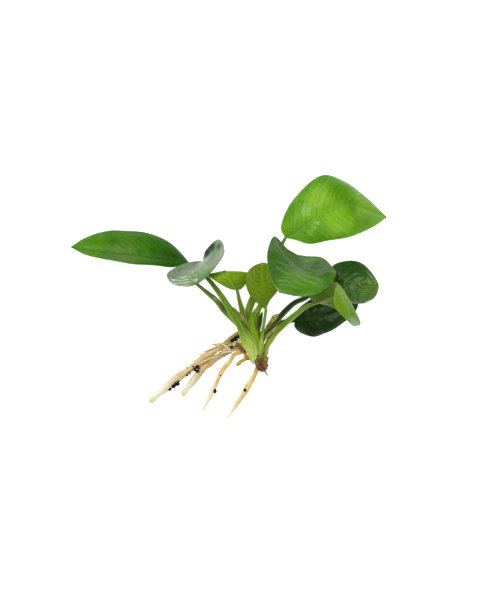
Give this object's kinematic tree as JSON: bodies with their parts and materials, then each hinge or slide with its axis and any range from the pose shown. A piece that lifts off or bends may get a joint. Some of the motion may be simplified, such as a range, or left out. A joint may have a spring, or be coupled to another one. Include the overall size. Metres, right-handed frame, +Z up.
{
  "type": "bare-root anubias plant",
  "caption": "Bare-root aquarium plant lying on its side: broad ovate leaves on curved stalks from a short creeping rhizome, with cream roots trailing from it",
  "frame": {"origin": "the middle of the flat patch under the rhizome, on the surface that the plant lies on", "axes": "+Z is up off the surface, +Y runs from the roots to the leaves, and +X is along the greatest spread of the leaves, towards the young bright leaf"},
  "size_m": [0.1541, 0.1179, 0.0527],
  "materials": {
    "leaf": "leathery green leaf, satin above and matt below, with a waxy sheen",
    "stalk": "smooth green stalk, lightly ridged lengthwise",
    "sheath": "dry papery tan sheath",
    "rhizome": "knobbly brown and green stem with leaf scars",
    "root": "smooth fleshy cream root with pale tips"
  },
  "bodies": {
    "root": {"rhizome": "rhizome", "long_root": "root", "second_root": "root", "third_root": "root", "fourth_root": "root", "root_stub": "root", "hair_root": "root", "rolled_leaf": "leaf", "left_sheath": "sheath", "middle_sheath": "sheath", "right_sheath": "sheath", "lower_sheath": "sheath", "top_leaf_blade": "leaf", "top_leaf_stalk": "stalk", "long_leaf_blade": "leaf", "long_leaf_stalk": "stalk", "arched_leaf_blade": "leaf", "arched_leaf_stalk": "stalk", "small_leaf_blade": "leaf", "small_leaf_stalk": "stalk", "young_leaf_blade": "leaf", "young_leaf_stalk": "stalk", "broad_leaf_blade": "leaf", "broad_leaf_stalk": "stalk", "round_leaf_blade": "leaf", "round_leaf_stalk": "stalk", "folded_leaf_blade": "leaf", "folded_leaf_stalk": "stalk", "dark_leaf_blade": "leaf", "dark_leaf_stalk": "stalk"}
  },
  "joints": []
}
